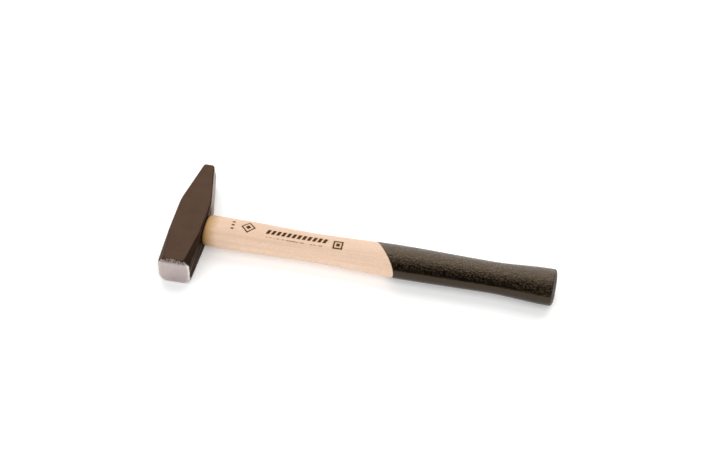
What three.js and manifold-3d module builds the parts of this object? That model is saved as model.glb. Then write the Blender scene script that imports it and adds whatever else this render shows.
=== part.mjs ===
// Cross-pein hammer of the German machinist's pattern, 500 g size.
//
// Units are millimetres. The hammer lies on one cheek of its head: +Z is up, +X runs along the
// handle towards its butt, the striking face looks along -Y and the pein points along +Y.
// The origin is on the cheek that the hammer rests on, straight below the middle of the eye.

import * as THREE from 'three';
import { LoftGeometry } from 'three/addons/geometries/LoftGeometry.js';
import { mergeVertices } from 'three/addons/utils/BufferGeometryUtils.js';
import Module from 'manifold-3d';

// ---- Driving dimensions -----------------------------------------------------------------------

// Head
const SQUARE = 27; // across the flats of the body
const HEAD_LENGTH = 118; // striking face to pein tip
const EYE_TO_FACE = 52.4; // middle of the eye to the striking face
const EDGE_BREAK = 1.2; // leg of the worn chamfer along every forged edge
const POLL_CHAMFER = 5.2; // leg of the corner chamfers where they reach the striking face
const POLL_CHAMFER_LENGTH = 46; // from the face to where the corner chamfers run out
const FACE_RIM = 2.2; // width of the bevel round the striking face
const FACE_RIM_DEPTH = 1.4;
const PEIN_START = 19.5; // from the middle of the eye
const PEIN_BLEND = 4.5; // half the length over which the pein's start is rounded
const PEIN_TIP_THICKNESS = 9.1;
const PEIN_TIP_WIDTH = 25;
const PEIN_RISE = 1; // how far the tip lies off the head's middle, away from the handle
const PEIN_CROWN = 1.1; // how far its two slopes stand out at mid-height, on the parting line
const PEIN_ROUND = 1.8; // radius of the tip

// Eye: an oval hole whose two mouths flare
const EYE_LENGTH = 24.6; // at the mouths, along the head
const EYE_WIDTH = 15.6; // at the mouths
const EYE_FLARE = 0.8; // how far the mouths stand out past the waist, on each side
const EYE_SQUARENESS = 2.5; // superellipse power of the oval

// Handle: ovals across X, with breadth along Y and thickness along Z. The first three are placed
// from the middle of the eye and the last two from the butt.
const OVERALL_LENGTH = 324; // top of the head to the butt
const TENON_PROUD = 1; // how far the tenon stands out of the top of the head
const SHOULDER = { fromEye: 43, breadth: 29.2, thickness: 21.4 };
const WAIST = { fromEye: 105, breadth: 26.6, thickness: 20.1 };
const BULGE = { fromEye: 182, breadth: 29.9, thickness: 22.8 };
const NECK = { fromButt: 52.5, breadth: 27.8, thickness: 21.5 };
const FLARE = { fromButt: 5.5, breadth: 32.3, thickness: 25.2 };
const HANDLE_SQUARENESS = 2.2; // superellipse power of its ovals
const HANDLE_LEAN = 2.3; // how far the butt's middle lies off the eye's, towards the striking face
const SHOULDER_ROUND = 1.6; // how far the end at the head is drawn in
const SHOULDER_ROUND_LENGTH = 5;
const BUTT_ROUND_LENGTH = 3.4;
const BUTT_SQUARENESS = 3; // superellipse power of the dome on the butt
const BUTT_DOME_TURN = 0.9; // share of a quarter turn after which the dome ends in a small flat

// Grip coating
const COAT_THICKNESS = 0.9;
const COAT_STEP = 0.3; // how far it stands proud of the bare wood
const COAT_START = 166; // where its edge crosses the handle's axis
const COAT_SLOPE = 0.7; // how far the edge moves along X for each unit along Y

// Wedges
const WEDGE_THICKNESS = 4.4; // at the end of the tenon
const WEDGE_TIP = 1.2;
const WEDGE_DEPTH = 20;
const KERF_RUNOUT = 4; // how far the saw kerf goes past the wedge
const RING_MARGIN = 1.9; // from the ring wedge to the eye's wall at its mouth
const RING_WALL = 1.7;
const RING_EDGE = 0.5; // wall at the leading edge
const RING_DEPTH = 9;

// Fit: pieces that touch on the real hammer keep this gap
const CLEARANCE = 0.3;

// Fineness of the facets
const OVAL_SIDES = 32;
const RING_SIDES = 32;
const ROUND_STEPS = 5;
const SECTION_SPACING = 12; // longest distance between two rings of the handle
const EYE_SPACING = 3.4; // longest distance between two rings of the eye

// ---- Derived places ---------------------------------------------------------------------------

const AXIS_HEIGHT = SQUARE / 2; // of the handle's axis above the cheek
const FACE_Y = -EYE_TO_FACE;
const TIP_Y = HEAD_LENGTH - EYE_TO_FACE;
const TENON_END = -SQUARE / 2 - TENON_PROUD;
const SHOULDER_X = SQUARE / 2 + CLEARANCE;
const SHOULDER_ROUND_END = SHOULDER_X + SHOULDER_ROUND_LENGTH;
const BUTT_X = OVERALL_LENGTH - SQUARE / 2;
const WEDGE_END = TENON_END + WEDGE_DEPTH;
const RING_RADIUS = EYE_WIDTH / 2 - RING_MARGIN;
const RING_END = TENON_END + RING_DEPTH;
const HANDLE_SECTIONS = [
  ...[SHOULDER, WAIST, BULGE].map((section) => ({ ...section, at: section.fromEye })),
  ...[NECK, FLARE].map((section) => ({ ...section, at: BUTT_X - section.fromButt })),
];

// ---- Solids -----------------------------------------------------------------------------------

const { clamp, lerp, smoothstep } = THREE.MathUtils;
const wasm = await Module();
wasm.setup();

/** A manifold-3d solid with the shape of a closed three.js geometry. */
function solidOf(geometry) {
  const bare = new THREE.BufferGeometry();
  bare.setAttribute('position', geometry.getAttribute('position'));
  const merged = mergeVertices(bare.setIndex(geometry.getIndex()));
  return new wasm.Manifold(
    new wasm.Mesh({
      numProp: 3,
      vertProperties: new Float32Array(merged.attributes.position.array),
      triVerts: new Uint32Array(merged.index.array),
    }),
  );
}

/** A named three.js mesh with the shape of a manifold-3d solid. */
function meshOf(name, solid, look) {
  const { vertProperties, triVerts } = solid.getMesh();
  const geometry = new THREE.BufferGeometry();
  geometry.setAttribute('position', new THREE.BufferAttribute(vertProperties, 3));
  geometry.setIndex(new THREE.BufferAttribute(triVerts, 1));
  geometry.computeVertexNormals();
  const mesh = new THREE.Mesh(geometry, new THREE.MeshStandardMaterial(look));
  mesh.name = name;
  return mesh;
}

/** The closed solid through rings that turn counter-clockwise about the way they run. */
function loft(rings) {
  return solidOf(new LoftGeometry(rings, { capStart: true, capEnd: true }));
}

/** An oval ring across X, a superellipse of that power whose middle is at x and y. */
function ovalRing(x, y, breadth, thickness, power) {
  const bend = (value) => Math.sign(value) * Math.abs(value) ** (2 / power);
  return Array.from({ length: OVAL_SIDES }, (_, side) => {
    const turn = (side / OVAL_SIDES) * 2 * Math.PI;
    const across = (breadth / 2) * bend(Math.cos(turn));
    const up = (thickness / 2) * bend(Math.sin(turn));
    return new THREE.Vector3(x, y + across, AXIS_HEIGHT + up);
  });
}

/** Numbers from one to another, both included, in equal steps no longer than the one given. */
function spaced(from, to, longest) {
  const steps = Math.ceil((to - from) / longest);
  return Array.from({ length: steps + 1 }, (_, step) => lerp(from, to, step / steps));
}

/** Shares of a quarter round's depth that give equal turns, from its foot to its end. */
function roundShares() {
  return Array.from({ length: ROUND_STEPS }, (_, step) => {
    return Math.sin(((step + 1) / ROUND_STEPS) * (Math.PI / 2));
  });
}

/** How much of its radius a quarter round has drawn in, at a share of its depth. */
function roundInset(share) {
  return 1 - Math.sqrt(1 - clamp(share, 0, 1) ** 2);
}

// ---- Head -------------------------------------------------------------------------------------

/** How far the pein has tapered at y, from 0 to 1, with its start rounded. */
function peinTaper(y) {
  const blended = clamp(y - PEIN_START + PEIN_BLEND, 0, 2 * PEIN_BLEND);
  const straight = Math.max(0, y - PEIN_START - PEIN_BLEND);
  return (blended ** 2 / (4 * PEIN_BLEND) + straight) / (TIP_Y - PEIN_START);
}

/** The ring across the head at y: a rectangle with chamfered corners and, on the pein, a crown. */
function headRing(y) {
  const taper = peinTaper(y);
  const rim = FACE_RIM * Math.max(0, 1 - (y - FACE_Y) / FACE_RIM_DEPTH);
  const inset = rim + PEIN_ROUND * roundInset(1 - (TIP_Y - y) / PEIN_ROUND);
  const halfX = lerp(SQUARE, PEIN_TIP_THICKNESS, taper) / 2 - inset;
  const halfZ = lerp(SQUARE, PEIN_TIP_WIDTH, taper) / 2 - inset;
  const poll = POLL_CHAMFER * (1 - (y - FACE_Y) / POLL_CHAMFER_LENGTH);
  const drawnIn = inset * (2 - Math.SQRT2);
  const chamfer = Math.max(EDGE_BREAK / 2, Math.max(EDGE_BREAK, poll) - drawnIn);
  const crown = halfX + PEIN_CROWN * smoothstep(y, PEIN_START, PEIN_START + 2 * PEIN_BLEND);
  const corners = [
    [halfX - chamfer, halfZ],
    [halfX, halfZ - chamfer],
    [crown, 0],
    [halfX, chamfer - halfZ],
    [halfX - chamfer, -halfZ],
    [chamfer - halfX, -halfZ],
    [-halfX, chamfer - halfZ],
    [-crown, 0],
    [-halfX, halfZ - chamfer],
    [chamfer - halfX, halfZ],
  ];
  const middle = -PEIN_RISE * taper;
  return corners.map(([x, z]) => new THREE.Vector3(middle + x, y, AXIS_HEIGHT + z));
}

/** Where the head's rings lie, from the striking face to the pein tip. */
function headStations() {
  const blend = spaced(PEIN_START - PEIN_BLEND, PEIN_START + 2 * PEIN_BLEND, PEIN_BLEND / 3);
  const tipStart = TIP_Y - PEIN_ROUND;
  const chamferEnd = FACE_Y + POLL_CHAMFER_LENGTH * (1 - EDGE_BREAK / POLL_CHAMFER);
  const tip = roundShares().map((share) => tipStart + PEIN_ROUND * share);
  return [FACE_Y, FACE_Y + FACE_RIM_DEPTH, chamferEnd, ...blend, tipStart, ...tip];
}

/** The eye from one x to another, or what fills it with a gap all round. */
function eyeFill(from, to, gap) {
  const rings = spaced(from, to, EYE_SPACING).map((x) => {
    const flared = clamp((2 * Math.abs(x)) / SQUARE, 0, 1) ** 2;
    const inset = EYE_FLARE * (1 - flared) + gap;
    return ovalRing(x, 0, EYE_LENGTH - 2 * inset, EYE_WIDTH - 2 * inset, EYE_SQUARENESS);
  });
  return loft(rings);
}

function hammerHead() {
  const past = SQUARE / 2 + EDGE_BREAK;
  return loft(headStations().map(headRing)).subtract(eyeFill(-past, past, 0));
}

// ---- Wedges -----------------------------------------------------------------------------------

/** A prism across the tenon: the wooden wedge grown by a gap, then the kerf that it leaves open. */
function wedgePrism(start, gap, kerf) {
  const slope = (WEDGE_THICKNESS - WEDGE_TIP) / WEDGE_DEPTH;
  const halfAt = (x) => (WEDGE_TIP + Math.max(0, WEDGE_END - x) * slope) / 2 + gap;
  const stations = [start, WEDGE_END, ...(kerf > 0 ? [WEDGE_END + kerf] : [])];
  const upper = stations.map((x) => new THREE.Vector2(x, halfAt(x)));
  const lower = upper.map(({ x, y }) => new THREE.Vector2(x, -y)).reverse();
  const outline = new THREE.Shape([...lower, ...upper]);
  const depth = 2 * EYE_LENGTH; // right across the tenon
  const prism = new THREE.ExtrudeGeometry(outline, { depth, bevelEnabled: false });
  return solidOf(prism.rotateX(Math.PI / 2).translate(0, depth / 2, AXIS_HEIGHT));
}

/** The ring wedge grown by a gap, from start to its leading edge. */
function ringBody(start, gap) {
  const slope = (RING_WALL - RING_EDGE) / RING_DEPTH;
  const innerAt = (x) => RING_RADIUS - RING_EDGE - (RING_END - x) * slope - gap;
  const outer = RING_RADIUS + gap;
  const end = RING_END + gap;
  const profile = [
    new THREE.Vector2(innerAt(start), start),
    new THREE.Vector2(outer, start),
    new THREE.Vector2(outer, end),
    new THREE.Vector2(innerAt(end), end),
    new THREE.Vector2(innerAt(start), start),
  ];
  const ring = new THREE.LatheGeometry(profile, RING_SIDES);
  return solidOf(ring.rotateZ(-Math.PI / 2).translate(0, 0, AXIS_HEIGHT));
}

function ringGroove() {
  return ringBody(TENON_END - CLEARANCE, CLEARANCE);
}

function eyeWedge() {
  const prism = wedgePrism(TENON_END, 0, 0);
  return prism.intersect(eyeFill(TENON_END, SHOULDER_X, CLEARANCE)).subtract(ringGroove());
}

// ---- Handle and grip coating ------------------------------------------------------------------

/** Breadth and thickness of the handle at x, easing from each named section to the next. */
function handleSize(x) {
  let [{ breadth, thickness }] = HANDLE_SECTIONS;
  HANDLE_SECTIONS.slice(1).forEach((section, before) => {
    const eased = smoothstep(x, HANDLE_SECTIONS[before].at, section.at);
    breadth = lerp(breadth, section.breadth, eased);
    thickness = lerp(thickness, section.thickness, eased);
  });
  return [breadth, thickness];
}

/** The handle's ring at x, drawn in by inset: rounded at the head and domed at the butt. */
function handleRing(x, inset) {
  const atHead = (SHOULDER_ROUND_END - x) / SHOULDER_ROUND_LENGTH;
  const drawnIn = inset + SHOULDER_ROUND * roundInset(atHead);
  const atButt = clamp(1 - (BUTT_X - inset - x) / BUTT_ROUND_LENGTH, 0, 1);
  const dome = (1 - atButt ** BUTT_SQUARENESS) ** (1 / BUTT_SQUARENESS);
  const [breadth, thickness] = handleSize(x).map((size) => dome * (size - 2 * drawnIn));
  const lean = (-HANDLE_LEAN * (x - SHOULDER_X)) / (BUTT_X - SHOULDER_X);
  return ovalRing(x, lean, breadth, thickness, HANDLE_SQUARENESS);
}

/** The handle without its tenon, drawn in by inset all over. */
function handleBody(inset) {
  const domeStart = BUTT_X - inset - BUTT_ROUND_LENGTH;
  const shoulder = roundShares().map((share) => SHOULDER_ROUND_END - SHOULDER_ROUND_LENGTH * share);
  const along = spaced(SHOULDER_ROUND_END, domeStart, SECTION_SPACING);
  const dome = roundShares().map((share) => {
    const turn = Math.asin(share) * BUTT_DOME_TURN;
    return domeStart + BUTT_ROUND_LENGTH * Math.sin(turn) ** (2 / BUTT_SQUARENESS);
  });
  const stations = [...shoulder.reverse(), ...along, ...dome];
  return loft(stations.map((x) => handleRing(x, inset)));
}

/** Everything on the butt side of the coat's slanted edge, less a gap. */
function coatedSide(gap) {
  const reach = 2 * BUTT_X;
  const box = new THREE.BoxGeometry(reach, reach, reach).translate(reach / 2 + gap, 0, 0);
  return solidOf(box.rotateZ(Math.atan(COAT_SLOPE)).translate(COAT_START, 0, 0));
}

function handle() {
  const core = handleBody(COAT_THICKNESS + CLEARANCE - COAT_STEP);
  const bare = handleBody(0).subtract(coatedSide(0));
  const tenon = eyeFill(TENON_END, SHOULDER_ROUND_END, CLEARANCE);
  const slot = wedgePrism(TENON_END - CLEARANCE, CLEARANCE, KERF_RUNOUT);
  return bare.add(core).add(tenon).subtract(slot).subtract(ringGroove());
}

function gripCoating() {
  const outer = handleBody(-COAT_STEP).intersect(coatedSide(CLEARANCE));
  return outer.subtract(handleBody(COAT_THICKNESS - COAT_STEP));
}

// ---- The hammer -------------------------------------------------------------------------------

const hammer = new THREE.Group();
hammer.add(
  meshOf('hammer_head', hammerHead(), { color: 0x574639, roughness: 0.35, metalness: 0.4 }),
  meshOf('handle', handle(), { color: 0xefcfb1, roughness: 0.5, metalness: 0 }),
  meshOf('eye_wedge', eyeWedge(), { color: 0xc79a6b, roughness: 0.7, metalness: 0 }),
  meshOf('ring_wedge', ringBody(TENON_END, 0), { color: 0xa9a9ab, roughness: 0.4, metalness: 1 }),
  meshOf('grip_coating', gripCoating(), { color: 0x4a3e34, roughness: 0.6, metalness: 0 }),
);

export default hammer;
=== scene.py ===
"""Looks of a cross-pein hammer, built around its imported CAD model.

The scene is in metres. The sizes below are in millimetres, in the same frame: the hammer lies on
one cheek of its head, +Z is up, +X runs along the handle and the striking face looks along -Y.
"""

import math

import bpy
import numpy as np
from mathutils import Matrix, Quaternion, Vector, noise


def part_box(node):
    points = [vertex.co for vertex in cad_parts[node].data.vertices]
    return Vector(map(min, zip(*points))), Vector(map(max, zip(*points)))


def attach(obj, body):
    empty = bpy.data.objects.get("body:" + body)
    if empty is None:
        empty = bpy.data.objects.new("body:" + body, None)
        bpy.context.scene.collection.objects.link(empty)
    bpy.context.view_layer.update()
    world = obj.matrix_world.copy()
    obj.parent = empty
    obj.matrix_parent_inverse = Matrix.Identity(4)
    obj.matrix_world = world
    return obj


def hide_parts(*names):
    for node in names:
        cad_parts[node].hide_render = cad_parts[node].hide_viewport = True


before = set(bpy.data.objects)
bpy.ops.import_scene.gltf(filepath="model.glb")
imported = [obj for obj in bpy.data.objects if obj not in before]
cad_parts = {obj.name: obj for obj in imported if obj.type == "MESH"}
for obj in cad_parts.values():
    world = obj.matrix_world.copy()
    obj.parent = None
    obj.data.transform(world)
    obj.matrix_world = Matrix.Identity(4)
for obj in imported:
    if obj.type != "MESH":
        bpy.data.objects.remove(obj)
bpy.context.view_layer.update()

MM = 0.001


def box_mm(node):
    """Lowest and highest corner of a CAD node, in millimetres."""
    return tuple(np.array(corner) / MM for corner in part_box(node))


# ---- Places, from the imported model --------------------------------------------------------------

HEAD_LOW, HEAD_HIGH = box_mm("hammer_head")
HANDLE_LOW, _ = box_mm("handle")
_, WEDGE_HIGH = box_mm("eye_wedge")
_, RING_HIGH = box_mm("ring_wedge")
_, COAT_HIGH = box_mm("grip_coating")

SQUARE = HEAD_HIGH[2] - HEAD_LOW[2]
AXIS_HEIGHT = HEAD_LOW[2] + SQUARE / 2
FACE_Y = HEAD_LOW[1]
TIP_Y = HEAD_HIGH[1]
TENON_END = HANDLE_LOW[0]
WEDGE_END = WEDGE_HIGH[0]
RING_END = RING_HIGH[0]
RING_RADIUS = RING_HIGH[1]
COAT_END = COAT_HIGH[0]

# ---- Sizes that the CAD model uses too ----------------------------------------------------------

CLEARANCE = 0.3  # round the tenon, and between the coat and the handle's core
EDGE_BREAK = 1.2
POLL_CHAMFER = 5.2  # at the face, running out to nothing over its length
POLL_CHAMFER_LENGTH = 46
FACE_RIM = 2.2  # width of the bevel round the face
FACE_RIM_DEPTH = 1.4
PEIN_START = 19.5  # from the middle of the eye
PEIN_BLEND = 4.5  # half the length over which its start is rounded
PEIN_TIP_THICKNESS = 9.1
PEIN_TIP_WIDTH = 25
PEIN_RISE = 1  # how far the tip lies off the head's middle, away from the handle
PEIN_CROWN = 1.1  # how far its two slopes stand out at mid-height
PEIN_ROUND = 1.8

EYE_LENGTH = 24.6
EYE_WIDTH = 15.6
EYE_FLARE = 0.8  # how much narrower it is at its middle than at its mouths
EYE_SQUARENESS = 2.5

SHOULDER_X = SQUARE / 2 + CLEARANCE
BUTT_X = 310.5
SECTIONS = (  # x, breadth along Y, thickness along Z
    (43, 29.2, 21.4),
    (105, 26.6, 20.1),
    (182, 29.9, 22.8),
    (BUTT_X - 52.5, 27.8, 21.5),
    (BUTT_X - 5.5, 32.3, 25.2),
)
HANDLE_SQUARENESS = 2.2  # superellipse power of its ovals
HANDLE_LEAN = 2.3  # how far the butt's middle lies off the eye's, towards the face
SHOULDER_ROUND = 1.6
SHOULDER_ROUND_LENGTH = 5
BUTT_ROUND_LENGTH = 3.4
BUTT_SQUARENESS = 3  # superellipse power of the dome on the butt

COAT_THICKNESS = 0.9
COAT_STEP = 0.3  # how far it stands out of the wood
COAT_START = 166
COAT_SLOPE = 0.7  # of its slanted edge

WEDGE_THICKNESS = 4.4
WEDGE_TIP = 1.2
KERF_RUNOUT = 4  # how far the saw kerf goes past the wedge
RING_WALL = 1.7
RING_EDGE = 0.5  # wall at the leading edge

SEAM = 0.08  # gap that shows between two pieces that touch

# ---- Camera -------------------------------------------------------------------------------------

CAMERA_TARGET = Vector((138.97, 21.45, 13.5)) * MM
CAMERA_AZIMUTH = 11.707  # degrees
CAMERA_ELEVATION = 46.290
CAMERA_ROLL = 0.521
CAMERA_DISTANCE = 1.51608  # metres
CAMERA_LENS = 90.756  # millimetres
CAMERA_SENSOR = 36
CAMERA_CLIP = (0.1, 100)  # metres


# ---- Mesh helpers -------------------------------------------------------------------------------


SHARP_ANGLE = 35  # degrees between two faces from which their edge stays sharp
LATHE_SHARP_ANGLE = 40


def shade(mesh, sharp_angle=SHARP_ANGLE):
    mesh.polygons.foreach_set("use_smooth", [True] * len(mesh.polygons))
    mesh.set_sharp_from_angle(angle=math.radians(sharp_angle))


def mesh_object(name, points, faces, sharp_angle=SHARP_ANGLE):
    """A smooth-shaded mesh object from points in millimetres."""
    mesh = bpy.data.meshes.new(name)
    mesh.from_pydata((np.asarray(points) * MM).tolist(), [], faces)
    shade(mesh, sharp_angle)
    obj = bpy.data.objects.new(name, mesh)
    bpy.context.scene.collection.objects.link(obj)
    return obj


def strip_faces(count, around, closed=False):
    """Quads from each ring to the next, and from the last to the first where closed."""
    faces = []
    for ring in range(count if closed else count - 1):
        low, high = ring * around, (ring + 1) % count * around
        for side in range(around):
            after = (side + 1) % around
            faces.append((low + side, low + after, high + after, high + side))
    return faces


def loft(name, rings):
    """A closed mesh through rings with the same number of points, ended by a fan at each end."""
    rings = np.asarray(rings)
    count, around = rings.shape[:2]
    points = rings.reshape(-1, 3).tolist()
    faces = strip_faces(count, around)
    for ring, turned in ((0, True), (count - 1, False)):
        points.append(rings[ring].mean(axis=0).tolist())
        middle = len(points) - 1
        for side in range(around):
            a, b = ring * around + side, ring * around + (side + 1) % around
            faces.append((b, a, middle) if turned else (a, b, middle))
    return mesh_object(name, points, faces)


def combine(obj, other, operation):
    """Applies a boolean of two closed meshes to the first and removes the second."""
    cut = obj.modifiers.new("cut", "BOOLEAN")
    cut.operation, cut.solver, cut.object = operation, "EXACT", other
    graph = bpy.context.evaluated_depsgraph_get()
    made = bpy.data.meshes.new_from_object(obj.evaluated_get(graph))
    obj.modifiers.clear()
    made.name = obj.name
    obj.data = made
    bpy.data.objects.remove(other)
    shade(made)


def noise_at(points, feature, seed):
    """Smooth noise from -1 to 1 at points in millimetres, with features of that size."""
    places = np.asarray(points) / np.asarray(feature) + seed
    return np.array([noise.noise(Vector(place)) for place in places])


def push_in(obj, depth_at):
    """Moves each vertex against its normal by what depth_at gives for the points, in mm."""
    count = len(obj.data.vertices)
    points, normals = np.empty(count * 3), np.empty(count * 3)
    obj.data.vertices.foreach_get("co", points)
    obj.data.vertex_normals.foreach_get("vector", normals)
    points, normals = points.reshape(-1, 3), normals.reshape(-1, 3)
    moved = points - normals * (depth_at(points / MM) * MM)[:, None]
    obj.data.vertices.foreach_set("co", moved.ravel())
    obj.data.update()


def smoothstep(x, low, high):
    """0 below low, 1 above high, and smooth between them."""
    share = np.clip((np.asarray(x, float) - low) / (high - low), 0, 1)
    return share * share * (3 - 2 * share)


def spaced(low, high, longest):
    """Even stations from low to high, no further apart than longest."""
    return np.linspace(low, high, max(2, math.ceil((high - low) / longest) + 1))


# ---- Head ---------------------------------------------------------------------------------------

HEAD_SPACING = 1.0
CORNER_STEPS = 5
EDGE_ROUNDING = 0.8  # radius at the edges of the chamfers
FACE_ROUNDING = 7  # the same where the grinding of the face has softened them
FACE_ROUNDING_LENGTH = 5
CROWN_ROUNDING = 16
LEAST_REACH = 0.25  # keeps the points of a corner apart where it is straight
FACE_DOME = 0.16
FACE_EDGE_REACH = 0.9  # how far the rounding of the face's edge reaches to each side
BEVEL_EDGE_REACH = 0.8  # the same where the bevel meets the body
FORGED_WAVES = 0.07
FORGED_PITS = 0.05
EYE_ROUNDING = 0.7  # radius at its mouths
EYE_SPACING = 1.5
MOUTH_STEEPEST = 62  # degrees; the rounding goes on straight from here, to meet the cheek cleanly
CUTTER_OVERSHOOT = 0.8


def rounded_outline(corners, radii, edge_steps):
    """A closed outline with rounded corners. Every corner gives the same number of points."""
    corners = np.asarray(corners, float)
    before, after = np.roll(corners, 1, axis=0), np.roll(corners, -1, axis=0)
    ends = []
    for corner, back, ahead, radius in zip(corners, before, after, radii):
        inward = (back - corner) / np.linalg.norm(back - corner)
        onward = (ahead - corner) / np.linalg.norm(ahead - corner)
        turn = math.pi - math.acos(np.clip(inward @ onward, -1, 1))
        reach = max(radius * math.tan(turn / 2), LEAST_REACH)
        ends.append((corner + inward * reach, corner, corner + onward * reach))
    outline = []
    for index, (start, corner, end) in enumerate(ends):
        for t in np.linspace(0, 1, CORNER_STEPS):
            outline.append((1 - t) ** 2 * start + 2 * t * (1 - t) * corner + t * t * end)
        following = ends[(index + 1) % len(ends)][0]
        for step in range(1, edge_steps[index]):
            outline.append(end + (following - end) * step / edge_steps[index])
    return np.array(outline)


def pein_taper(y):
    """Share of the pein's taper at y: 0 on the body, 1 at its tip."""
    blended = min(max(y - PEIN_START + PEIN_BLEND, 0), 2 * PEIN_BLEND)
    straight = max(0, y - PEIN_START - PEIN_BLEND)
    return (blended**2 / (4 * PEIN_BLEND) + straight) / (TIP_Y - PEIN_START)


def head_ring(y, inset):
    """The ring across the head at y, drawn in by inset."""
    taper = pein_taper(y)
    half_x = (SQUARE + (PEIN_TIP_THICKNESS - SQUARE) * taper) / 2 - inset
    half_z = (SQUARE + (PEIN_TIP_WIDTH - SQUARE) * taper) / 2 - inset
    poll = POLL_CHAMFER * (1 - (y - FACE_Y) / POLL_CHAMFER_LENGTH)
    chamfer = max(EDGE_BREAK / 2, max(EDGE_BREAK, poll) - inset * (2 - math.sqrt(2)))
    crown = half_x + PEIN_CROWN * float(smoothstep(y, PEIN_START, PEIN_START + 2 * PEIN_BLEND))
    soft = float(smoothstep(y, FACE_Y, FACE_Y + FACE_ROUNDING_LENGTH))
    rounding = min(FACE_ROUNDING + (EDGE_ROUNDING - FACE_ROUNDING) * soft, 1.6 * chamfer)
    corners = (
        (half_x - chamfer, half_z), (half_x, half_z - chamfer), (crown, 0),
        (half_x, chamfer - half_z), (half_x - chamfer, -half_z), (chamfer - half_x, -half_z),
        (-half_x, chamfer - half_z), (-crown, 0), (-half_x, half_z - chamfer),
        (chamfer - half_x, half_z),
    )
    crown_rounding = min(CROWN_ROUNDING, 2 * half_z)
    radii = [rounding, rounding, crown_rounding, rounding, rounding] * 2
    outline = rounded_outline(corners, radii, (4, 12, 12, 4, 22) * 2)
    return np.column_stack(
        (outline[:, 0] - PEIN_RISE * taper, np.full(len(outline), y), outline[:, 1] + AXIS_HEIGHT)
    )


def face_profile():
    """Stations from the flat of the striking face over its rounded bevel: y and inset."""
    slope = np.array((-FACE_RIM, FACE_RIM_DEPTH)) / math.hypot(FACE_RIM, FACE_RIM_DEPTH)
    flat, bevel = np.array((FACE_RIM, 0.0)), np.array((0.0, FACE_RIM_DEPTH))
    first = (flat + (FACE_EDGE_REACH, 0), flat, flat + slope * FACE_EDGE_REACH)
    second = (bevel - slope * BEVEL_EDGE_REACH, bevel, bevel + (0, BEVEL_EDGE_REACH))
    profile = []
    for start, corner, end in (first, second):
        for t in np.linspace(0, 1, 7):
            inset, depth = (1 - t) ** 2 * start + 2 * t * (1 - t) * corner + t * t * end
            profile.append((FACE_Y + depth, inset))
    return profile


def head_rings():
    """From the middle of the striking face to the middle of the pein's tip."""
    profile = face_profile()
    rings = [head_ring(y, inset) for y, inset in profile]
    middle = np.array((0, FACE_Y, AXIS_HEIGHT))
    face = [middle + (rings[0] - middle) * share for share in np.linspace(0.06, 0.94, 10)]
    body = [head_ring(y, 0) for y in spaced(profile[-1][0], TIP_Y - PEIN_ROUND, HEAD_SPACING)[1:]]
    tip = []
    for turn in np.linspace(0, math.pi / 2, 12)[1:]:
        inset = PEIN_ROUND * (1 - math.cos(turn))
        tip.append(head_ring(TIP_Y - PEIN_ROUND * (1 - math.sin(turn)), inset))
    end = tip[-1]
    cap = []
    for share in (0.7, 0.4, 0.1):
        ring = end.copy()
        ring[:, 0] = end[:, 0].mean() + (end[:, 0] - end[:, 0].mean()) * share
        ring[:, 2] = AXIS_HEIGHT + (end[:, 2] - AXIS_HEIGHT) * (0.9 + 0.1 * share)
        cap.append(ring)
    return face + rings + body + tip + cap


def oval_offsets(around, power):
    """Points of a superellipse with half axes of 1."""
    turn = np.arange(around) / around * 2 * math.pi
    return tuple(np.sign(value) * np.abs(value) ** (2 / power) for value in (np.cos(turn), np.sin(turn)))


def eye_ring(x, inset, around=128):
    """The eye's ring at x, drawn in by inset. It flares towards both mouths."""
    across, up = oval_offsets(around, EYE_SQUARENESS)
    flared = min(abs(x) / (SQUARE / 2), 1) ** 2
    drawn = EYE_FLARE * (1 - flared) + inset
    y, z = across * (EYE_LENGTH / 2 - drawn), up * (EYE_WIDTH / 2 - drawn)
    return np.column_stack((np.full(around, x), y, z + AXIS_HEIGHT))


def eye_cutter():
    """Fills the eye, and flares out at both mouths into their rounded edges."""
    mouth = SQUARE / 2
    inside = spaced(EYE_ROUNDING - mouth, mouth - EYE_ROUNDING, EYE_SPACING)
    stations = [(x, 0.0) for x in inside]
    steepest = math.radians(MOUTH_STEEPEST)
    outer = [(mouth - EYE_ROUNDING * (1 - math.sin(t)), -EYE_ROUNDING * (1 - math.cos(t)))
             for t in np.linspace(0, steepest, 7)[1:]]
    x, inset = outer[-1]
    outer.append((x + CUTTER_OVERSHOOT, inset - CUTTER_OVERSHOOT * math.tan(steepest)))
    ends = [(-x, inset) for x, inset in reversed(outer)]
    return loft("eye_cutter", [eye_ring(x, inset) for x, inset in ends + stations + outer])


def hammer_head():
    head = loft("forged_head", head_rings())

    def forged(points):
        near_face = smoothstep(points[:, 1], FACE_Y + 0.5, FACE_Y + 3.5)
        wavy = 0.5 + 0.5 * noise_at(points, (9, 12, 9), 3.1)
        pitted = np.clip(noise_at(points, 1.7, 11.7), 0, 1)
        dome = FACE_DOME * (1 - near_face) * np.clip(
            np.hypot(points[:, 0], points[:, 2] - AXIS_HEIGHT) / (SQUARE / 2), 0, 1) ** 2
        on_face = points[:, 1] < FACE_Y + 0.05
        return np.where(on_face, dome, near_face * (FORGED_WAVES * wavy + FORGED_PITS * pitted))

    push_in(head, forged)
    combine(head, eye_cutter(), "DIFFERENCE")
    return head


# ---- Handle -------------------------------------------------------------------------------------

HANDLE_SIDES = 160
TENON_EDGE = 0.5  # radius round the end of the tenon
END_GRAIN_WAVES = 0.16
END_GRAIN_PITS = 0.07
RING_RIM = 0.3  # radius round the ring wedge's outer end
LEAST_DOME = 0.004  # keeps the last ring of the butt's dome open


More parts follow.
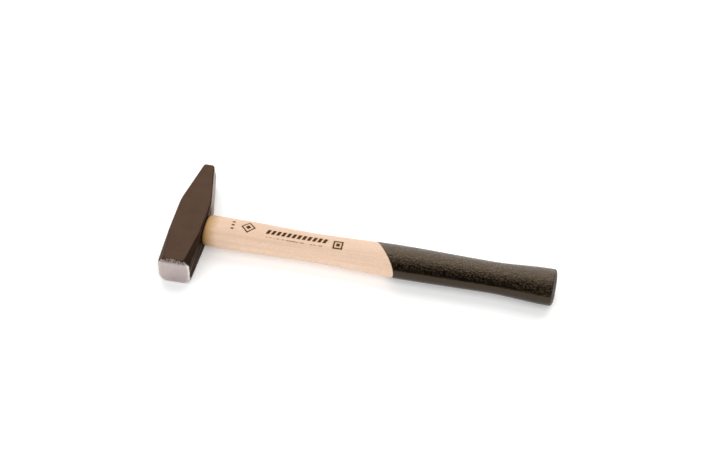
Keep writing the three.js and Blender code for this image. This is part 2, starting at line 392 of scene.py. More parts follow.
def handle_size(x):
    """Breadth and thickness of the handle at x."""
    breadth = np.full(np.shape(x), float(SECTIONS[0][1]))
    thickness = np.full(np.shape(x), float(SECTIONS[0][2]))
    for (start, *_), (end, wide, thick) in zip(SECTIONS, SECTIONS[1:]):
        eased = smoothstep(x, start, end)
        breadth += (wide - breadth) * eased
        thickness += (thick - thickness) * eased
    return breadth, thickness


def slant_share(x):
    """How far a ring at x leans with the coat's slanted edge, from 0 to 1."""
    return smoothstep(x, COAT_START - 75, COAT_START - 25) * (
        1 - smoothstep(x, COAT_START + 25, COAT_START + 75)
    )


def handle_ring(x, inset, around=HANDLE_SIDES, dome=1.0):
    """The handle's ring that crosses its axis at x, drawn in by inset."""
    across, up = oval_offsets(around, HANDLE_SQUARENESS)
    leaned = COAT_SLOPE * slant_share(x)
    place = np.full(around, float(x))
    for _ in range(6):
        at_head = np.clip((SHOULDER_X + SHOULDER_ROUND_LENGTH - place) / SHOULDER_ROUND_LENGTH, 0, 1)
        drawn = inset + SHOULDER_ROUND * (1 - np.sqrt(1 - at_head**2))
        breadth, thickness = handle_size(place)
        lean = -HANDLE_LEAN * (place - SHOULDER_X) / (BUTT_X - SHOULDER_X)
        y = lean + across * dome * (breadth / 2 - drawn)
        place = x - leaned * y
    z = AXIS_HEIGHT + up * dome * (thickness / 2 - drawn)
    return np.column_stack((place, y, z))


def butt_rings(end_x, inset, around, steps):
    """The dome on the butt, up to end_x."""
    rings = []
    for turn in np.linspace(0, math.pi / 2, steps + 1)[1:]:
        x = end_x - BUTT_ROUND_LENGTH * (1 - math.sin(turn) ** (2 / BUTT_SQUARENESS))
        dome = max(math.cos(turn), LEAST_DOME) ** (2 / BUTT_SQUARENESS)
        rings.append(handle_ring(x, inset, around, dome))
    return rings


def tenon_rings():
    """The end of the tenon and its sides, up to the shoulder."""
    rim = []
    for turn in np.linspace(0, math.pi / 2, 5)[:-1]:
        inset = SEAM + TENON_EDGE * (1 - math.sin(turn))
        ring = eye_ring(TENON_END + TENON_EDGE, inset, HANDLE_SIDES)
        ring[:, 0] = TENON_END + TENON_EDGE * (1 - math.cos(turn))
        rim.append(ring)
    middle = np.array((TENON_END, 0, AXIS_HEIGHT))
    cap = [middle + (rim[0] - middle) * share for share in np.linspace(0.04, 0.97, 20)]
    stations = spaced(TENON_END + TENON_EDGE, SHOULDER_X, EYE_SPACING)
    return cap + rim + [eye_ring(x, SEAM, HANDLE_SIDES) for x in stations]


def wedge_prism(start, gap, kerf):
    """The wooden wedge grown by a gap, then the saw kerf that it leaves open."""
    slope = (WEDGE_THICKNESS - WEDGE_TIP) / (WEDGE_END - TENON_END)
    side = EYE_LENGTH  # right across the tenon
    rings = []
    for x in list(spaced(start, WEDGE_END, 2)) + ([WEDGE_END + kerf] if kerf else []):
        half = (WEDGE_TIP + max(0, WEDGE_END - x) * slope) / 2 + gap
        rings.append([(x, y, AXIS_HEIGHT + z) for y, z in (
            (-side, -half), (side, -half), (side, half), (-side, half))])
    return loft("prism", rings)


def ring_inner(x, gap):
    """Inner radius of the ring wedge at x, less a gap."""
    slope = (RING_WALL - RING_EDGE) / (RING_END - TENON_END)
    return RING_RADIUS - RING_EDGE - (RING_END - x) * slope - gap


def lathe_x(name, profile, around=96):
    """A closed ring turned about the handle's axis, from radius and x."""
    turn = np.arange(around) / around * 2 * math.pi
    rings = []
    for radius, x in profile:
        y, z = radius * np.cos(turn), AXIS_HEIGHT + radius * np.sin(turn)
        rings.append(np.column_stack((np.full(around, x), y, z)))
    faces = strip_faces(len(rings), around, closed=True)
    return mesh_object(name, np.reshape(rings, (-1, 3)), faces, LATHE_SHARP_ANGLE)


def ring_groove():
    """Cuts the ring wedge's seat, open at the end of the tenon."""
    start, end, outer = TENON_END - 1, RING_END + SEAM, RING_RADIUS + SEAM
    inner = ring_inner(start, SEAM), ring_inner(end, SEAM)
    return lathe_x("ring_groove", ((inner[0], start), (outer, start), (outer, end), (inner[1], end)))


def rough_end(points):
    """Depth of the sawn, chiselled end grain on the end of the tenon."""
    on_end = 1 - smoothstep(points[:, 0], TENON_END + 0.1, TENON_END + 0.7)
    waves = 0.5 + 0.5 * noise_at(points, (9, 2.2, 2.2), 5.3)
    pits = np.clip(noise_at(points, 0.6, 2.9), 0, 1)
    return on_end * (END_GRAIN_WAVES * waves + END_GRAIN_PITS * pits)


def wooden_handle():
    shoulder = [
        handle_ring(SHOULDER_X + SHOULDER_ROUND_LENGTH * (1 - math.sin(turn)), 0)
        for turn in np.linspace(math.pi / 2, 0, 9)
    ]
    stations = spaced(SHOULDER_X + SHOULDER_ROUND_LENGTH, COAT_START - 0.25, 1)
    bare = [handle_ring(x, 0) for x in stations]
    core_inset = COAT_THICKNESS + CLEARANCE - COAT_STEP
    lip = [handle_ring(COAT_START - 0.06, 0.06), handle_ring(COAT_START, 0.25),
           handle_ring(COAT_START, core_inset)]
    core_end = BUTT_X - core_inset - BUTT_ROUND_LENGTH
    core = [handle_ring(x, core_inset) for x in spaced(COAT_START, core_end, 6)[1:]]
    butt = butt_rings(BUTT_X - core_inset, core_inset, HANDLE_SIDES, 8)
    handle = loft("ash_handle", tenon_rings() + shoulder + bare[1:] + lip + core + butt)
    push_in(handle, rough_end)
    combine(handle, wedge_prism(TENON_END - 1, SEAM, KERF_RUNOUT), "DIFFERENCE")
    combine(handle, ring_groove(), "DIFFERENCE")
    return handle


def eye_wedge():
    """Cut from a tenon of its own, so that its end runs on from the handle's."""
    wedge = loft("wooden_wedge", tenon_rings())
    push_in(wedge, rough_end)
    combine(wedge, wedge_prism(TENON_END - 1, 0, 0), "INTERSECT")
    combine(wedge, ring_groove(), "DIFFERENCE")
    return wedge


def ring_wedge():
    start, end, outer = TENON_END, RING_END, RING_RADIUS
    turns = np.linspace(0, math.pi / 2, 5)
    profile = [(ring_inner(start, 0) + RING_RIM * (1 - math.cos(turn)),
                start + RING_RIM * (1 - math.sin(turn))) for turn in turns]
    profile += [(outer - RING_RIM * (1 - math.sin(turn)),
                 start + RING_RIM * (1 - math.cos(turn))) for turn in turns]
    profile += [(outer, x) for x in spaced(start + RING_RIM, end - 0.15, 1)[1:]]
    profile += [(outer - 0.15, end), (ring_inner(end, 0) + 0.1, end)]
    profile += [(ring_inner(x, 0), x) for x in spaced(start + RING_RIM, end - 0.2, 1)[::-1][:-1]]
    ring = lathe_x("steel_ring", profile)

    def hammered(points):
        on_rim = 1 - smoothstep(points[:, 0], start + 0.05, start + 0.6)
        return on_rim * 0.1 * (0.5 + 0.5 * noise_at(points, 1.3, 8.2))

    push_in(ring, hammered)
    return ring


# ---- Grip coating -------------------------------------------------------------------------------

COAT_SIDES = 256
COAT_SPACING = 0.4
CREASE_DEPTH = 0.2
SMOOTH_SHARE = 0.12  # how much of the crinkle is left on the smooth strip along the lower front
LIP_INSET = 0.05  # of the coat's edge, below the wood's surface
LIP_ROUND = 0.3


def leathery(points):
    """Depth of the shrunken wrinkles of the dipped coat."""
    warp = np.column_stack([noise_at(points, 7, seed) for seed in (1.3, 4.7, 9.1)]) * 1.6
    bent = points + warp
    coarse = 1 - np.abs(noise_at(bent, (5.5, 2.6, 2.6), 6.1)) * 2.2
    fine = 1 - np.abs(noise_at(bent, (2.4, 1.3, 1.3), 2.2)) * 2.2
    crease = 0.65 * np.clip(coarse, 0, 1) ** 3 + 0.35 * np.clip(fine, 0, 1) ** 3
    return CREASE_DEPTH * crease


def grip_coating():
    inner_inset = COAT_THICKNESS - COAT_STEP
    edge = COAT_START + SEAM
    inner_start = BUTT_X - inner_inset - BUTT_ROUND_LENGTH
    inside = [handle_ring(x, inner_inset, COAT_SIDES) for x in spaced(edge, inner_start, 6)]
    inside += butt_rings(BUTT_X - inner_inset, inner_inset, COAT_SIDES, 8)
    lip = [handle_ring(edge, 0.15, COAT_SIDES)]
    for turn in np.linspace(0, math.pi / 2, 6):
        x = edge + LIP_ROUND * (1 - math.cos(turn))
        lip.append(handle_ring(x, LIP_INSET - (COAT_STEP + LIP_INSET) * math.sin(turn), COAT_SIDES))
    stations = spaced(edge + LIP_ROUND, COAT_END - BUTT_ROUND_LENGTH, COAT_SPACING)
    outside = [handle_ring(x, -COAT_STEP, COAT_SIDES) for x in stations[1:]]
    outside += butt_rings(COAT_END, -COAT_STEP, COAT_SIDES, 24)
    coat = loft("grip_coat", inside[::-1] + lip + outside)

    count = len(coat.data.vertices)
    outer_from = (len(inside) + 1) * COAT_SIDES

    def wrinkles(points):
        depth = np.zeros(count)
        shown = slice(outer_from, count)
        eased = smoothstep(points[shown, 0] + COAT_SLOPE * points[shown, 1], edge, edge + 1.2)
        above = smoothstep(points[shown, 2], AXIS_HEIGHT + 3.5, AXIS_HEIGHT + 8)
        behind = smoothstep(points[shown, 1], -2, 4)
        level = SMOOTH_SHARE + (1 - SMOOTH_SHARE) * np.maximum(above, behind)
        depth[shown] = leathery(points[shown]) * eased * level
        depth[-2] = 0  # the inner pole
        return depth

    push_in(coat, wrinkles)
    return coat


# ---- Materials ----------------------------------------------------------------------------------


class Looks:
    """A node material under construction, with short ways to add and join its nodes."""

    def __init__(self, name):
        self.material = bpy.data.materials.new(name)
        self.material.use_nodes = True
        self.tree = self.material.node_tree
        self.shader = self.tree.nodes["Principled BSDF"]
        self.place = self.add("TexCoord").outputs["Object"]

    def add(self, kind, inputs=None, **settings):
        made = self.tree.nodes.new("ShaderNode" + kind)
        for name, value in settings.items():
            setattr(made, name, value)
        for name, value in (inputs or {}).items():
            self.put(made.inputs[name], value)
        return made

    def put(self, socket, value):
        """Links an output to a socket, or sets a plain value on it."""
        if isinstance(value, bpy.types.NodeSocket):
            self.tree.links.new(value, socket)
        else:
            socket.default_value = value

    def set(self, **inputs):
        for name, value in inputs.items():
            self.put(self.shader.inputs[name.replace("_", " ")], value)

    def math(self, operation, a, b=0.0, c=0.0):
        return self.add("Math", {0: a, 1: b, 2: c}, operation=operation).outputs[0]

    def times(self, a, b):
        return self.math("MULTIPLY", a, b)

    def plus(self, a, b):
        return self.math("ADD", a, b)

    def minus(self, a, b):
        return self.math("SUBTRACT", a, b)

    def larger(self, a, b):
        return self.math("MAXIMUM", a, b)

    def scaled(self, value, factor, base):
        """value times factor, plus base."""
        return self.math("MULTIPLY_ADD", value, factor, base)

    def centred(self, value, spread):
        """A noise around 0.5, moved to around 0 and scaled."""
        return self.times(self.minus(value, 0.5), spread)

    def coords(self, size):
        """Object coordinates in features of that many millimetres, in all or along X, Y and Z."""
        sizes = size if isinstance(size, tuple) else (size, size, size)
        scale = tuple(1 / MM / feature for feature in sizes)
        return self.add("Mapping", {"Vector": self.place, "Scale": scale}).outputs[0]

    def noise(self, size, detail=2.0, roughness=0.5, distortion=0.0):
        inputs = {"Vector": self.coords(size), "Scale": 1.0, "Detail": detail,
                  "Roughness": roughness, "Distortion": distortion}
        return self.add("TexNoise", inputs).outputs[0]

    def ramp(self, value, low, high, start=0.0, end=1.0):
        """value from low..high to start..end, smoothly."""
        inputs = {"Value": value, "From Min": low, "From Max": high, "To Min": start, "To Max": end}
        return self.add("MapRange", inputs, interpolation_type="SMOOTHSTEP").outputs[0]

    def band(self, value, low, high, soft):
        """1 where value lies between low and high, with soft edges."""
        rise = self.ramp(value, low - soft, low + soft)
        fall = self.ramp(value, high - soft, high + soft, 1, 0)
        return self.times(rise, fall)

    def mix(self, share, a, b):
        """Colour a where share is 0 and b where it is 1."""
        made = self.add("Mix", data_type="RGBA")
        for index, value in ((0, share), (6, a), (7, b)):
            self.put(made.inputs[index], value)
        return made.outputs[2]

    def xyz(self):
        """The place on the object, in millimetres."""
        split = self.add("SeparateXYZ", {"Vector": self.place})
        return [self.math("DIVIDE", split.outputs[index], MM) for index in range(3)]

    def bump(self, height, depth, before=None):
        """A bump of that many millimetres over a height from 0 to 1."""
        inputs = {"Height": height, "Distance": depth * MM, "Strength": 1.0}
        if before is not None:
            inputs["Normal"] = before
        return self.add("Bump", inputs).outputs[0]


# Colours, linear
LACQUER = (0.040, 0.0235, 0.0155, 1)
LACQUER_LIGHT = (0.052, 0.032, 0.0225, 1)
LACQUER_WORN = (0.12, 0.085, 0.062, 1)
# painted shade: darkens the flanks in streaks towards the face, for the shadowed floor they reflect
LACQUER_PAINTED_SHADE = (0.011, 0.006, 0.004, 1)
# painted reflection: a lighter grey for the pein's smooth flanks, for the lit floor they reflect
LACQUER_PAINTED_SHEEN = (0.10, 0.082, 0.076, 1)
GROUND_STEEL = (0.52, 0.45, 0.445, 1)
GROUND_STEEL_DARK = (0.36, 0.305, 0.295, 1)
# painted highlight for the face's side and lower bevels, brightest towards +X
GROUND_STEEL_PAINTED_HIGHLIGHT = (0.72, 0.66, 0.62, 1)
# painted shade: a darker steel, in mottles, for the upper bevel
STEEL_PAINTED_DARK = (0.30, 0.255, 0.23, 1)
ASH_PALE = (0.73, 0.555, 0.445, 1)
ASH_TAN = (0.62, 0.42, 0.275, 1)
ASH_FLECK = (0.42, 0.25, 0.13, 1)
# painted shade: a darker tan for the wood next to the head
ASH_PAINTED_SHADE = (0.42, 0.25, 0.095, 1)
ASH_END = (0.50, 0.335, 0.18, 1)
ASH_END_DARK = (0.24, 0.14, 0.065, 1)
BEECH_PALE = (0.52, 0.30, 0.17, 1)
BEECH_TAN = (0.43, 0.235, 0.12, 1)
BEECH_END = (0.34, 0.175, 0.085, 1)
BEECH_END_DARK = (0.19, 0.09, 0.04, 1)
COAT_DARK = (0.0018, 0.001, 0.0007, 1)
COAT_LIGHT = (0.005, 0.0034, 0.0023, 1)
# painted highlight for the crests of the coat's crinkle
COAT_PAINTED_HIGHLIGHT = (0.056, 0.041, 0.027, 1)
INK = (0.045, 0.016, 0.0003, 1)
INK_HALO = (0.36, 0.18, 0.025, 1)
ZINC = (0.55, 0.55, 0.54, 1)
ZINC_DULL = (0.36, 0.35, 0.33, 1)


# Shine: specular level and tint, and roughness
HEAD_SPECULAR = 0.35
HEAD_TINT = (0.85, 0.73, 0.65, 1)
HEAD_ROUGHNESS = 0.34
# rougher where the flanks carry painted shade
PAINTED_SHADE_ROUGHER = 0.4
FLANK_SMOOTHER = -0.14
HIGH_GROUND_ROUGHER = 0.3
HIGH_GROUND_DULLER = -0.5
LACQUER_METALLIC = 0.85
WOOD_SPECULAR = 0.25
WOOD_ROUGHNESS = (0.42, 0.56)
END_ROUGHER = 0.2
INK_ROUGHER = 0.25
COAT_SPECULAR = 0.56
COAT_TINT = (1.0, 0.75, 0.5, 1)
COAT_ROUGHNESS = (0.17, 0.23)
BUTT_ROUGHER = 0.4
ZINC_ROUGHNESS = (0.28, 0.48)

# Depths of the bumps, in millimetres
ORANGE_PEEL = 0.035
LACQUER_GRAIN = 0.012
BRUSH_MARKS = 0.03
WOOD_GRAIN = 0.03
WOOD_VESSELS = -0.05
COAT_PEBBLE = 0.06
COAT_CRINKLE = 0.58
ZINC_SCRATCHES = 0.02

# Printed marks on the handle: x and y of their corners or middles, in millimetres
DOTS_X, DOTS_Y = 36.0, -4.0
DOTS, DOT_PITCH, DOT_LENGTH = 3, 3.8, 2.4
DIAMOND_X, DIAMOND_Y = 50.5, 0.8
DIAMOND_LINE, DIAMOND_CORE = (4.7, 6.2), 2.3
BARS_X, BARS_Y = 67, -3
BARS, BAR_PITCH, BAR_HEIGHT, BAR_SLANT = 12, 4.4, 4.6, 0.35
RULE_LENGTH, RULE_BELOW = 49, (3.6, 3.0)
SQUARE_X, SQUARE_Y = 128, -2.8
SQUARE_LINE, SQUARE_CORE = (2.9, 4.1), 1.5
HALO_SOFT, INK_SOFT = 1.0, 0.1
INK_JITTER = 0.45


def lacquer_colour(look, y, mottle, grain):
    """The lacquer, with the shares of its flanks' painted shade and of the pein's smooth flanks, which
    carry a painted lighter reflection.
    """
    lacquer = look.mix(look.ramp(mottle, 0.35, 0.65, 0.2, 0.7), LACQUER, LACQUER_LIGHT)
    lacquer = look.mix(look.ramp(grain, 0.45, 0.75, 0, 0.35), lacquer, LACQUER_LIGHT)
    edges = look.add("NewGeometry").outputs["Pointiness"]
    worn = look.times(look.ramp(edges, 0.515, 0.56), look.ramp(look.noise(3), 0.4, 0.6))
    lacquer = look.mix(look.times(worn, 0.4), lacquer, LACQUER_WORN)
    normal = look.add("SeparateXYZ", {"Vector": look.add("TexCoord").outputs["Normal"]}).outputs[0]
    flank = look.ramp(look.math("ABSOLUTE", normal), 0.75, 0.9)
    # painted shade: the flanks darken in streaks that fade out towards the pein, for the shadowed floor
    # they reflect
    streaked = look.ramp(look.noise((4, 34, 2.2), detail=3), 0.36, 0.6, 0.15, 1)
    fading = look.ramp(look.scaled(look.noise((4, 9, 2), detail=3), 26, y), 18, 38, 1, 0)
    painted_flank_shade = look.times(look.times(flank, fading), streaked)
    lacquer = look.mix(painted_flank_shade, lacquer, LACQUER_PAINTED_SHADE)
    # painted reflection: the pein's flanks turn lighter and greyer, for the lit floor they reflect
    smooth_flank = look.times(flank, look.ramp(y, 14, 22))
    return look.mix(look.times(smooth_flank, 0.3), lacquer, LACQUER_PAINTED_SHEEN), painted_flank_shade, smooth_flank


def ground_share(look, y, high):
    """1 on the striking face and its bevel, up to a ragged edge; patchy on the upper bevel."""
    limit = look.plus(y, look.centred(look.noise(2.2, detail=4), 3.4))
    limit = look.scaled(high, -0.1, limit)
    patches = look.ramp(look.noise(1.1, detail=3), 0.42, 0.58, 0, 0.75)
    ground = look.ramp(limit, FACE_Y + 1.15, FACE_Y + 1.75, 1, 0)
    return look.times(ground, look.minus(1.0, look.times(high, patches)))


def steel_colour(look, x, y, high, brushed):
    """Ground steel: darker in mottles on the upper bevel as painted shade, and with a painted highlight
    on the others towards +X.
    """
    steel = look.mix(look.ramp(brushed, 0.3, 0.7, 0, 0.5), GROUND_STEEL, GROUND_STEEL_DARK)
    blotch = look.ramp(look.noise(5, detail=3), 0.45, 0.7, 0, 0.25)
    steel = look.mix(blotch, steel, GROUND_STEEL_DARK)
    # painted shade: the upper bevel darkens in mottles, for the dark room in front that it reflects
    painted_top_shade = look.times(high, look.ramp(look.noise(1.2, detail=4), 0.35, 0.6, 0.35, 1))
    steel = look.mix(painted_top_shade, steel, STEEL_PAINTED_DARK)
    # painted highlight: the bevel round the face, except on top, turns brighter, most of all towards +X
    bevel = look.times(look.ramp(y, FACE_Y + 0.2, FACE_Y + 0.6), look.minus(1.0, high))
    bevel = look.times(bevel, look.ramp(x, -4, 8, 0.25, 1))
    return look.mix(look.times(bevel, 0.8), steel, GROUND_STEEL_PAINTED_HIGHLIGHT)


def head_looks():
    look = Looks("head_lacquer")
    x, y, z = look.xyz()
    mottle = look.noise(14, detail=4)
    grain = look.noise(0.5, detail=3, roughness=0.7)
    brushed = look.noise((0.25, 6, 6), detail=4, roughness=0.7)
    lacquer, painted_flank_shade, smooth_flank = lacquer_colour(look, y, mottle, grain)
    high = look.ramp(z, AXIS_HEIGHT + 8, AXIS_HEIGHT + 12)
    ground = ground_share(look, y, high)
    high_ground = look.times(high, ground)

    rough = look.scaled(look.minus(mottle, 0.5), 0.12, HEAD_ROUGHNESS)
    rough = look.scaled(painted_flank_shade, PAINTED_SHADE_ROUGHER, rough)
    rough = look.scaled(smooth_flank, FLANK_SMOOTHER, rough)
    rough = look.scaled(high_ground, HIGH_GROUND_ROUGHER, rough)
    metallic = look.ramp(ground, 0, 1, LACQUER_METALLIC, 1.0)
    look.set(
        Base_Color=look.mix(ground, lacquer, steel_colour(look, x, y, high, brushed)),
        Metallic=look.scaled(high_ground, HIGH_GROUND_DULLER, metallic),
        Roughness=rough,
        Specular_IOR_Level=HEAD_SPECULAR,
        Specular_Tint=HEAD_TINT,
    )
    peel = look.bump(look.noise(1.1, detail=2), ORANGE_PEEL)
    fine = look.bump(grain, LACQUER_GRAIN, peel)
    look.set(Normal=look.bump(look.times(brushed, ground), BRUSH_MARKS, fine))
    return look.material


def end_grain(look, light, dark):
    """Growth rings and pores on the end of the tenon."""
    rings = look.noise((60, 14, 1.1), detail=2, distortion=0.2)
    pores = look.noise((40, 0.4, 0.4), detail=2)
    share = look.larger(look.ramp(rings, 0.45, 0.62, 0, 0.7), look.ramp(pores, 0.5, 0.66))
    return look.mix(share, light, dark)


def wood_looks(name, pale, tan, end_light, end_dark, printed=False):
    look = Looks(name)
    x, y, z = look.xyz()
    bands = look.noise((160, 2.6, 2.6), detail=3, distortion=0.3)
    streaks = look.noise((16, 0.5, 0.5), detail=4, roughness=0.65)
    vessels = look.noise((3.2, 0.22, 0.22), detail=2)
    speckle = look.noise((1.3, 0.9, 0.9), detail=3, roughness=0.7)
    colour = look.mix(look.ramp(bands, 0.4, 0.68, 0, 0.4), pale, tan)
    colour = look.mix(look.ramp(speckle, 0.38, 0.68, 0, 0.6), colour, tan)
    colour = look.mix(look.ramp(streaks, 0.5, 0.72, 0, 0.35), colour, tan)
    flecks = look.times(look.ramp(vessels, 0.62, 0.74), look.ramp(bands, 0.35, 0.6, 0.25, 1))
    colour = look.mix(look.times(flecks, 0.45), colour, ASH_FLECK)
    # painted shade: the wood darkens raggedly towards the head, for the shade and dark reflection the
    # head throws on it
    uneven = look.plus(x, look.centred(look.noise(7, detail=3), 8))
    painted_head_shade = look.ramp(uneven, SHOULDER_X + 1, SHOULDER_X + 14, 1, 0)
    colour = look.mix(painted_head_shade, colour, ASH_PAINTED_SHADE)
    at_end = look.ramp(x, TENON_END + 0.3, TENON_END + 0.9, 1, 0)
    colour = look.mix(at_end, colour, end_grain(look, end_light, end_dark))
    rough = look.plus(look.ramp(streaks, 0.3, 0.7, *WOOD_ROUGHNESS), look.times(at_end, END_ROUGHER))
    if printed:
        halo = look.times(print_mask(look, x, y, z, HALO_SOFT), 0.9)
        worn = look.ramp(look.noise(0.7), 0.2, 0.5, 0.9, 1)
        ink = look.times(print_mask(look, x, y, z, INK_SOFT), worn)
        colour = look.mix(ink, look.mix(halo, colour, INK_HALO), INK)
        rough = look.plus(rough, look.times(ink, INK_ROUGHER))
    look.set(Base_Color=colour, Roughness=rough, Specular_IOR_Level=WOOD_SPECULAR)
    grain = look.bump(streaks, WOOD_GRAIN)
    look.set(Normal=look.bump(flecks, WOOD_VESSELS, grain))
    return look.material


def print_mask(look, x, y, z, soft):
    """Plain marks printed on the upper side: dots, a diamond, slanted bars over a rule, a square."""
    jitter = look.centred(look.noise(0.5, detail=2), INK_JITTER)
    x, y = look.plus(x, jitter), look.minus(y, jitter)

    def box(left, right, low, high):
        return look.times(look.band(x, left, right, soft), look.band(y, low, high, soft))

    def off(value, middle):
        return look.math("ABSOLUTE", look.minus(value, middle))

    def repeat(value, start, pitch):
        """How far value is through its pitch, from 0 to 1."""
        return look.math("FRACT", look.math("DIVIDE", look.minus(value, start), pitch))

    def outlined(distance, line, core):
        return look.larger(look.band(distance, *line, soft), look.band(distance, -1, core, soft))

    dots = look.times(
        box(DOTS_X, DOTS_X + DOT_LENGTH, DOTS_Y, DOTS_Y + DOTS * DOT_PITCH - 0.1),
        look.band(repeat(y, DOTS_Y, DOT_PITCH), 0.05, 0.45, soft / DOT_PITCH),
    )
    away = look.plus(off(x, DIAMOND_X), off(y, DIAMOND_Y))
    diamond = outlined(away, DIAMOND_LINE, DIAMOND_CORE)

    bars_end = BARS_X + BARS * BAR_PITCH
    leaning = look.minus(x, look.times(y, BAR_SLANT))
    in_bar = look.band(repeat(leaning, BARS_X, BAR_PITCH), 0.04, 0.66, soft / BAR_PITCH)
    in_row = look.times(in_bar, look.band(leaning, BARS_X, bars_end, soft))
    bars = look.times(box(BARS_X - 1, bars_end, BARS_Y, BARS_Y + BAR_HEIGHT), in_row)

    rule_low, rule_high = (BARS_Y - below for below in RULE_BELOW)
    dashes = look.ramp(look.noise((2.5, 40, 40), detail=0), 0.42, 0.52, 0.1, 0.75)
    rule = look.times(box(BARS_X, BARS_X + RULE_LENGTH, rule_low, rule_high), dashes)

    from_square = look.larger(off(x, SQUARE_X), off(y, SQUARE_Y))
    square = outlined(from_square, SQUARE_LINE, SQUARE_CORE)
    marks = look.larger(look.larger(look.larger(dots, diamond), look.larger(bars, rule)), square)
    return look.times(marks, look.ramp(z, AXIS_HEIGHT, AXIS_HEIGHT + 1))


def coat_looks():
    look = Looks("grip_coat")
    x, y, z = look.xyz()
    above = look.ramp(z, AXIS_HEIGHT + 5, AXIS_HEIGHT + 9.5, SMOOTH_SHARE, 1)
    level = look.larger(above, look.ramp(y, -0.5, 5, SMOOTH_SHARE, 1))
    mottle = look.noise((9, 4, 4), detail=4)
    pebble = look.noise(0.7, detail=1)
    crinkle = look.noise((1.5, 1.0, 1.0), detail=2, distortion=0.5)
    # painted highlights: the crinkle's crests are lighter, mostly on the upper and back sides where the
    # key light catches them
    painted_crest_highlights = look.times(look.ramp(crinkle, 0.48, 0.66), level)
    colour = look.mix(look.ramp(mottle, 0.35, 0.7), COAT_DARK, COAT_LIGHT)
    colour = look.mix(look.times(painted_crest_highlights, 0.8), colour, COAT_PAINTED_HIGHLIGHT)
    pebbled = look.ramp(pebble, 0.3, 0.8, -0.02, 0.05)
    rough = look.plus(look.ramp(mottle, 0.3, 0.7, *COAT_ROUGHNESS), pebbled)
    rough = look.plus(rough, look.ramp(x, BUTT_X - 2, BUTT_X - 0.3, 0, BUTT_ROUGHER))
    look.set(
        Base_Color=colour, Roughness=rough,
        Specular_IOR_Level=COAT_SPECULAR, Specular_Tint=COAT_TINT,
    )
    fine = look.bump(look.times(pebble, level), COAT_PEBBLE)
    look.set(Normal=look.bump(look.times(crinkle, level), COAT_CRINKLE, fine))
    return look.material


def ring_looks():
    look = Looks("wedge_steel")
    dull = look.noise(2.2, detail=4)
    scratches = look.noise((0.3, 3, 3), detail=3)
    look.set(
        Base_Color=look.mix(look.ramp(dull, 0.4, 0.7), ZINC, ZINC_DULL),
        Roughness=look.ramp(scratches, 0.3, 0.7, *ZINC_ROUGHNESS),
        Normal=look.bump(scratches, ZINC_SCRATCHES),
        Metallic=1.0,
    )
    return look.material


# ---- Stage --------------------------------------------------------------------------------------

FLOOR_SIZE = 30  # metres
SOFTBOXES = (  # name, strength, spread in degrees, colour, direction it stands in, shows in gloss
    ("key", 2.95, 80, (1.0, 0.96, 0.91), (-0.05, 0.78, 0.65), True),
    ("fill", 3.05, 120, (1.0, 0.97, 0.94), (0.1, -0.86, 0.5), False),
)
WORLD_COLOUR = (1, 0.97, 0.94, 1)
WORLD_RISE = {  # how the room's strength rises with the share of +-X in the direction
    "From Min": 0.35, "From Max": 0.95, "To Min": 0.015, "To Max": 0.4,
}
FLOOR_WHITE = (0.93, 0.95, 0.97, 1)
FLOOR_GLOW = (0.94, 0.97, 1.0, 1)
FLOOR_GLOW_STRENGTH = 0.2
FLOOR_ROUGHNESS = 0.9
FLOOR_SPECULAR = 0.1


def floor():
    half = FLOOR_SIZE / 2 / MM
    corners = ((-half, -half, 0), (half, -half, 0), (half, half, 0), (-half, half, 0))
    plane = mesh_object("studio_floor", corners, [(0, 1, 2, 3)])
    look = Looks("studio_floor")
    look.set(
        Base_Color=FLOOR_WHITE, Roughness=FLOOR_ROUGHNESS, Specular_IOR_Level=FLOOR_SPECULAR,
        Emission_Color=FLOOR_GLOW, Emission_Strength=FLOOR_GLOW_STRENGTH,
    )
    plane.data.materials.append(look.material)


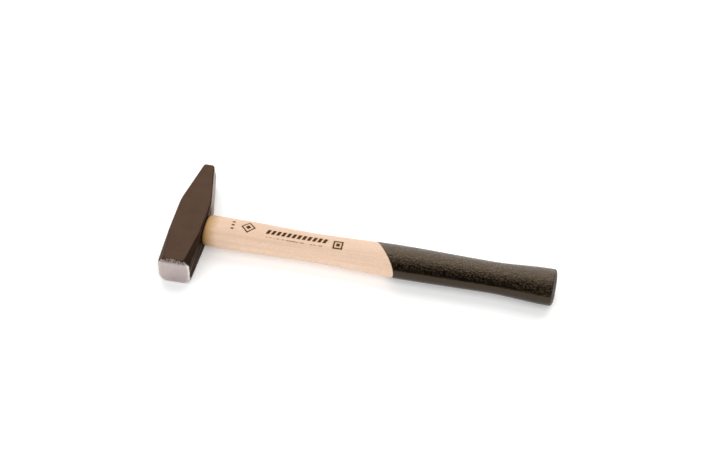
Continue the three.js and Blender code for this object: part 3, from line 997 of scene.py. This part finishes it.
def studio_light():
    world = bpy.data.worlds.new("studio")
    bpy.context.scene.world = world
    world.use_nodes = True
    background = world.node_tree.nodes["Background"]
    background.inputs["Color"].default_value = WORLD_COLOUR
    nodes, links = world.node_tree.nodes, world.node_tree.links
    direction = nodes.new("ShaderNodeTexCoord").outputs["Generated"]
    split = nodes.new("ShaderNodeSeparateXYZ")
    across = nodes.new("ShaderNodeMath")
    strength = nodes.new("ShaderNodeMapRange")
    across.operation, strength.interpolation_type = "ABSOLUTE", "SMOOTHSTEP"
    for name, value in WORLD_RISE.items():
        strength.inputs[name].default_value = value
    links.new(direction, split.inputs[0])
    links.new(split.outputs["X"], across.inputs[0])
    links.new(across.outputs[0], strength.inputs["Value"])
    links.new(strength.outputs[0], background.inputs["Strength"])
    for name, energy, spread, colour, toward, mirrored in SOFTBOXES:
        light = bpy.data.lights.new(name, "SUN")
        light.energy, light.angle, light.color = energy, math.radians(spread), colour
        lamp = bpy.data.objects.new(name, light)
        lamp.rotation_euler = Vector(toward).to_track_quat("Z", "Y").to_euler()
        lamp.visible_glossy = mirrored
        bpy.context.scene.collection.objects.link(lamp)


def camera():
    azimuth, elevation = math.radians(CAMERA_AZIMUTH), math.radians(CAMERA_ELEVATION)
    back = Vector((math.sin(azimuth) * math.cos(elevation),
                   -math.cos(azimuth) * math.cos(elevation), math.sin(elevation)))
    made = bpy.data.cameras.new("camera")
    made.lens, made.sensor_width = CAMERA_LENS, CAMERA_SENSOR
    made.clip_start, made.clip_end = CAMERA_CLIP
    obj = bpy.data.objects.new("camera", made)
    roll = Quaternion((0, 0, 1), math.radians(CAMERA_ROLL))
    obj.rotation_mode = "QUATERNION"
    obj.rotation_quaternion = (-back).to_track_quat("-Z", "Y") @ roll
    obj.location = CAMERA_TARGET + back * CAMERA_DISTANCE
    bpy.context.scene.collection.objects.link(obj)
    bpy.context.scene.camera = obj


# ---- The hammer ---------------------------------------------------------------------------------

bpy.context.scene.view_settings.view_transform = "Standard"
floor()
studio_light()
camera()

for make, node, slot, material in (
    (hammer_head, "hammer_head", "head_lacquer", head_looks()),
    (wooden_handle, "handle", "ash",
     wood_looks("ash", ASH_PALE, ASH_TAN, ASH_END, ASH_END_DARK, printed=True)),
    (eye_wedge, "eye_wedge", "wedge_wood",
     wood_looks("wedge_wood", BEECH_PALE, BEECH_TAN, BEECH_END, BEECH_END_DARK)),
    (ring_wedge, "ring_wedge", "wedge_steel", ring_looks()),
    (grip_coating, "grip_coating", "grip_coat", coat_looks()),
):
    piece = make()
    piece.data.materials.clear()
    piece.data.materials.append(material)
    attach(piece, "root")
    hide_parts(node)
